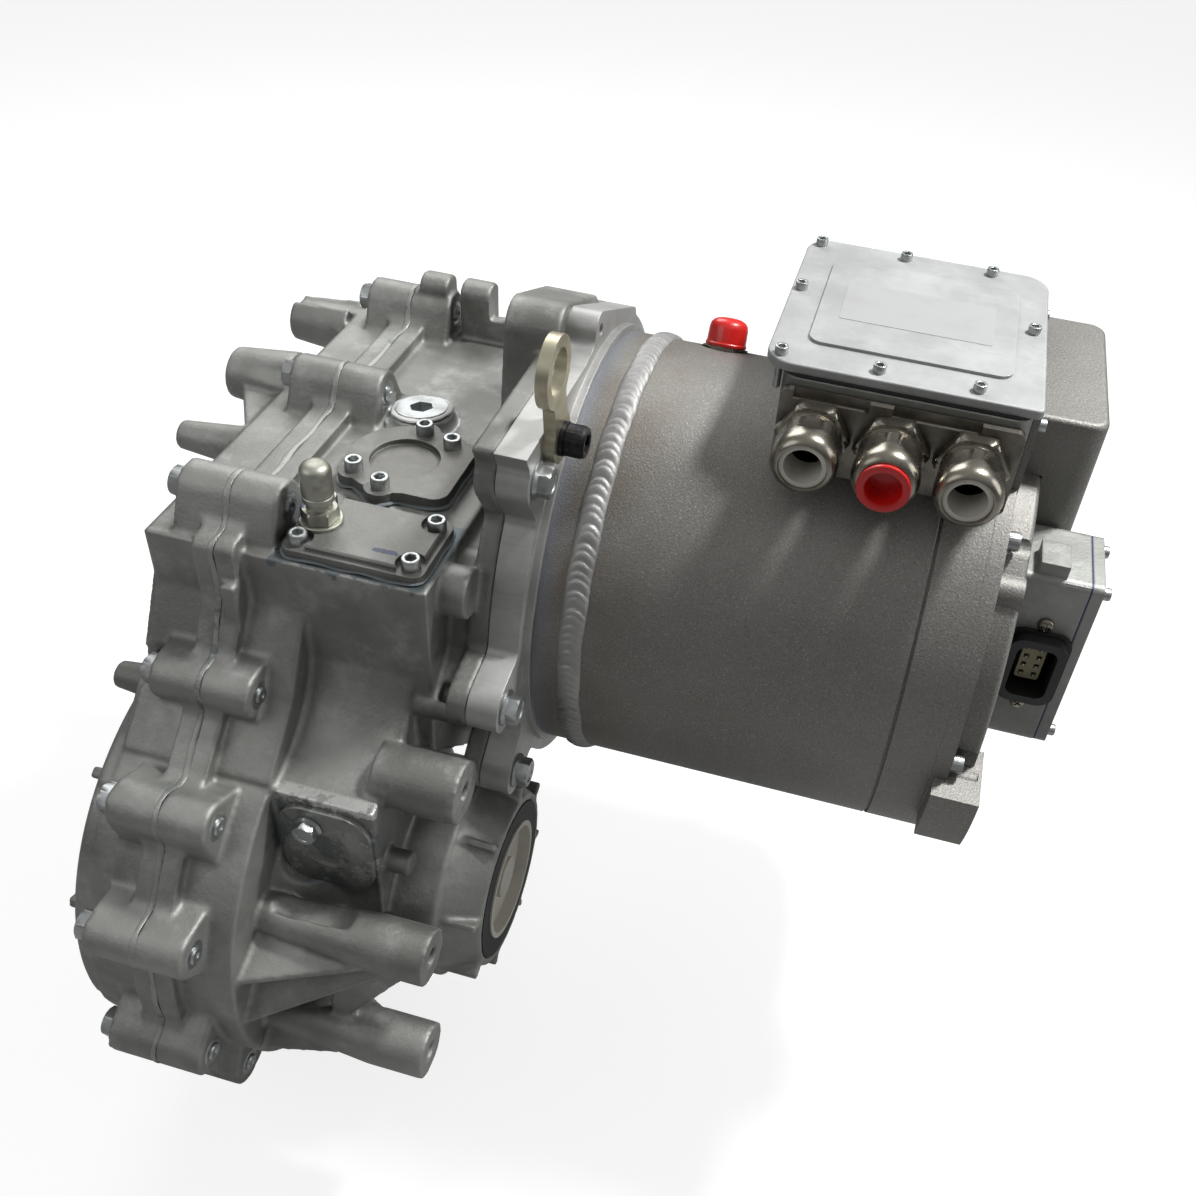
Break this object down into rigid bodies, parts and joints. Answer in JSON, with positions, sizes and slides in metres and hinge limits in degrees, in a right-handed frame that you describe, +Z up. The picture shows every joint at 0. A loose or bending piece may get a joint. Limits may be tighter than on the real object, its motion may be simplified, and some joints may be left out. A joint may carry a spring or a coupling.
{
  "type": "electric drive unit",
  "caption": "Water-cooled electric motor with terminal box and cable glands, bolted to a two-stage reduction gearbox with differential.",
  "frame": {"origin": "on the motor axis, in the plane where the motor housing meets its front flange; the three mounting bosses of the gear housing are stated from it", "axes": "+X along the motor axis from the gearbox to the rear cover, -Y towards the cable glands and the mounting bosses, +Z up, square to the terminal box lid"},
  "size_m": [0.5005, 0.4515, 0.4727],
  "materials": {
    "black_plastic": "moulded",
    "black_rubber": "moulded rubber",
    "black_steel": "black oxide",
    "blasted_aluminium": "bead-blasted, matte",
    "blue_seal": "moulded rubber",
    "cast_aluminium": "die-cast, light satin",
    "copper": "enamelled copper",
    "cream_plastic": "moulded",
    "gear_steel": "ground",
    "lamination_steel": "stamped sheet stack",
    "machined_aluminium": "milled, satin",
    "nickel": "nickel plate, bright",
    "red_rubber": "moulded, semi-gloss",
    "seal_rubber": "ivory rubber",
    "weld_aluminium": "as welded",
    "white_plastic": "moulded",
    "yellow_zinc": "yellow zinc plate",
    "zinc_steel": "bright zinc plate"
  },
  "bodies": {
    "housing": {"breather": "yellow_zinc", "connector_insert": "cream_plastic", "connector_pins": "nickel", "connector_screws": "nickel", "coolant_nozzle_caps": "red_rubber", "coolant_nozzles": "nickel", "cover_screws_m4": "zinc_steel", "cover_screws_m6": "zinc_steel", "front_flange_bolts": "zinc_steel", "gear_housing_far_side": "cast_aluminium", "gear_housing_motor_side": "cast_aluminium", "gearbox_bearings": "gear_steel", "gland_bodies": "nickel", "gland_nuts": "nickel", "gland_plate": "nickel", "gland_plug": "red_rubber", "gland_seals": "seal_rubber", "housing_bolts": "zinc_steel", "housing_weld_bead": "weld_aluminium", "lid_gasket": "black_rubber", "lifting_eye": "yellow_zinc", "lifting_eye_screw": "black_steel", "lifting_eye_washer": "black_steel", "motor_bearings": "gear_steel", "motor_front_flange": "machined_aluminium", "motor_housing": "blasted_aluminium", "oil_plugs": "zinc_steel", "oil_seals": "black_rubber", "output_plugs": "white_plastic", "phase_lead_duct": "blasted_aluminium", "phase_leads": "copper", "rear_cover": "blasted_aluminium", "resolver_stator": "lamination_steel", "retainer_bolt": "zinc_steel", "retainer_plate": "machined_aluminium", "round_cover": "machined_aluminium", "signal_box": "machined_aluminium", "signal_box_cover": "machined_aluminium", "signal_box_gasket": "blue_seal", "signal_connector": "black_plastic", "square_cover": "machined_aluminium", "stator_core": "lamination_steel", "stator_windings": "copper", "terminal_block": "black_plastic", "terminal_box": "cast_aluminium", "terminal_box_lid": "machined_aluminium", "terminal_nuts": "zinc_steel"},
    "rotor": {"rotor_core": "lamination_steel", "rotor_shaft": "gear_steel", "resolver_rotor": "lamination_steel", "input_shaft": "gear_steel"},
    "countershaft": {"countershaft": "gear_steel", "countershaft_wheel": "gear_steel"},
    "differential": {"differential_case": "gear_steel", "ring_gear": "gear_steel", "ring_gear_bolts": "black_steel", "differential_pin": "gear_steel", "bevel_pinions": "gear_steel", "side_gears": "gear_steel"}
  },
  "joints": [
    {"name": "rotor_spin", "type": "hinge", "parent": "housing", "child": "rotor", "pos_m": [0, 0, 0], "axis": [1, 0, 0], "continuous": true},
    {"name": "countershaft_spin", "type": "hinge", "parent": "housing", "child": "countershaft", "pos_m": [0, -0.08031, -0.01054], "axis": [1, 0, 0], "continuous": true},
    {"name": "differential_spin", "type": "hinge", "parent": "housing", "child": "differential", "pos_m": [0, -0.144, -0.148], "axis": [1, 0, 0], "continuous": true}
  ],
  "couplings": [
    {"joint": "countershaft_spin", "follows": "rotor_spin", "ratio": -0.35},
    {"joint": "differential_spin", "follows": "rotor_spin", "ratio": 0.11513}
  ]
}
